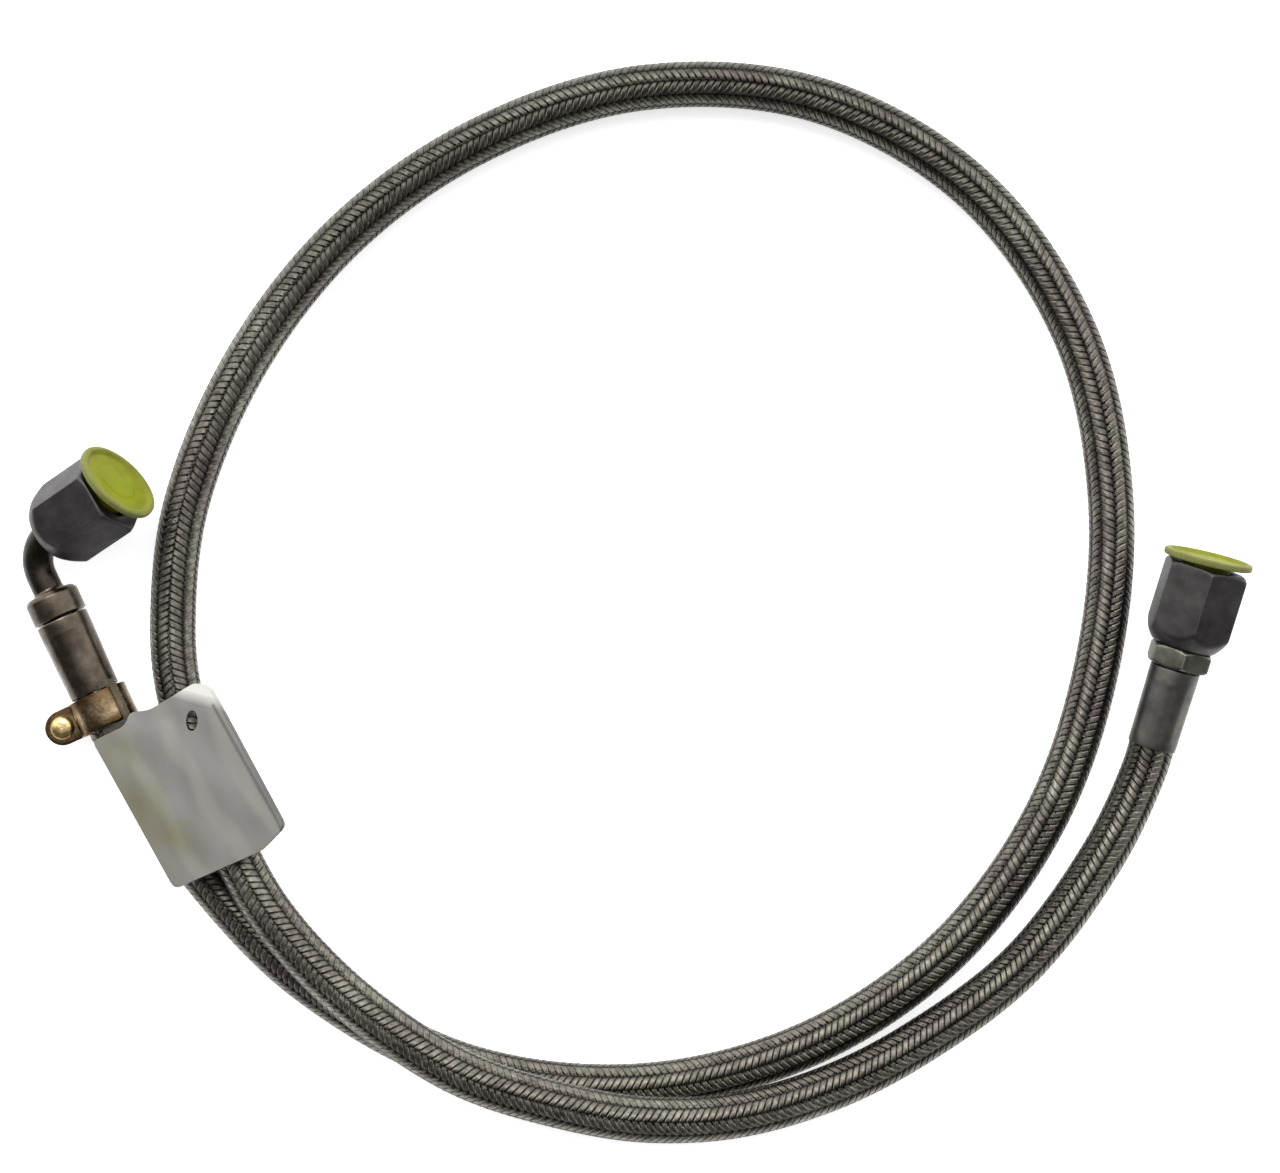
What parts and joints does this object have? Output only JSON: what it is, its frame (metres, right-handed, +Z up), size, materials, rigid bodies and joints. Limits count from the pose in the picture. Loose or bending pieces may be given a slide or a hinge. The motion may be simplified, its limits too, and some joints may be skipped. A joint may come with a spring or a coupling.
{
  "type": "braided supply line",
  "caption": "Flexible braided steel hose lying in a loop, a swivel elbow fitting on one end, a straight swivel fitting on the other, with plastic plugs and a clear label pouch.",
  "frame": {"origin": "on the floor under the middle of the two end fittings, the band and the pouch, the hose loop left out", "axes": "+X from the elbow end to the straight end, +Y across the loop away from where the hose crosses itself, +Z up from the floor"},
  "size_m": [0.4271, 0.3752, 0.0418],
  "materials": {
    "braid": "woven stainless wire, dull with small bright wires",
    "liner": "natural fluoropolymer tube",
    "warm_steel": "satin steel with a warm grey-brown tint",
    "grey_steel": "satin grey steel",
    "bright_steel": "turned steel",
    "dark_steel": "dark grey phosphate finish, satin",
    "seal": "black rubber",
    "plug": "yellow-green polyethylene, slightly translucent",
    "brass": "worn brass",
    "clear_plastic": "clear flexible plastic",
    "card": "grey printed card"
  },
  "bodies": {
    "hose": {"hose_braid": "braid", "hose_liner": "liner", "elbow_ferrule": "warm_steel", "elbow_hose_end": "braid", "elbow_insert": "warm_steel", "elbow_tube": "warm_steel", "elbow_nipple": "bright_steel", "elbow_o_ring": "seal", "straight_ferrule": "grey_steel", "straight_hose_end": "braid", "straight_insert": "grey_steel", "straight_nipple": "bright_steel", "straight_o_ring": "seal", "clip_band": "brass", "clip_rivet": "brass"},
    "elbow_nut": {"elbow_nut": "dark_steel"},
    "elbow_plug": {"elbow_plug": "plug"},
    "straight_nut": {"straight_nut": "dark_steel"},
    "straight_plug": {"straight_plug": "plug"},
    "tag": {"tag_strap": "clear_plastic", "pouch_back": "clear_plastic", "label_card": "card", "pouch_front": "clear_plastic"}
  },
  "joints": [
    {"name": "elbow_nut_swivel", "type": "hinge", "parent": "hose", "child": "elbow_nut", "pos_m": [-0.20419, 0.04735, 0.01482], "axis": [0.7926, 0.4811, 0.3745], "continuous": true},
    {"name": "elbow_plug_pull", "type": "slide", "parent": "elbow_nut", "child": "elbow_plug", "axis": [0.7926, 0.4811, 0.3745], "range_m": [0, 0.03]},
    {"name": "straight_nut_swivel", "type": "hinge", "parent": "hose", "child": "straight_nut", "pos_m": [0.18903, 0.00765, 0.01488], "axis": [0.2666, 0.952, 0.1502], "continuous": true},
    {"name": "straight_plug_pull", "type": "slide", "parent": "straight_nut", "child": "straight_plug", "axis": [0.2666, 0.952, 0.1502], "range_m": [0, 0.03]},
    {"name": "tag_flap", "type": "hinge", "parent": "hose", "child": "tag", "pos_m": [-0.18967, -0.00825, 0.0107], "axis": [0.4195, -0.9078, 0], "range_deg": [0, 100]}
  ]
}
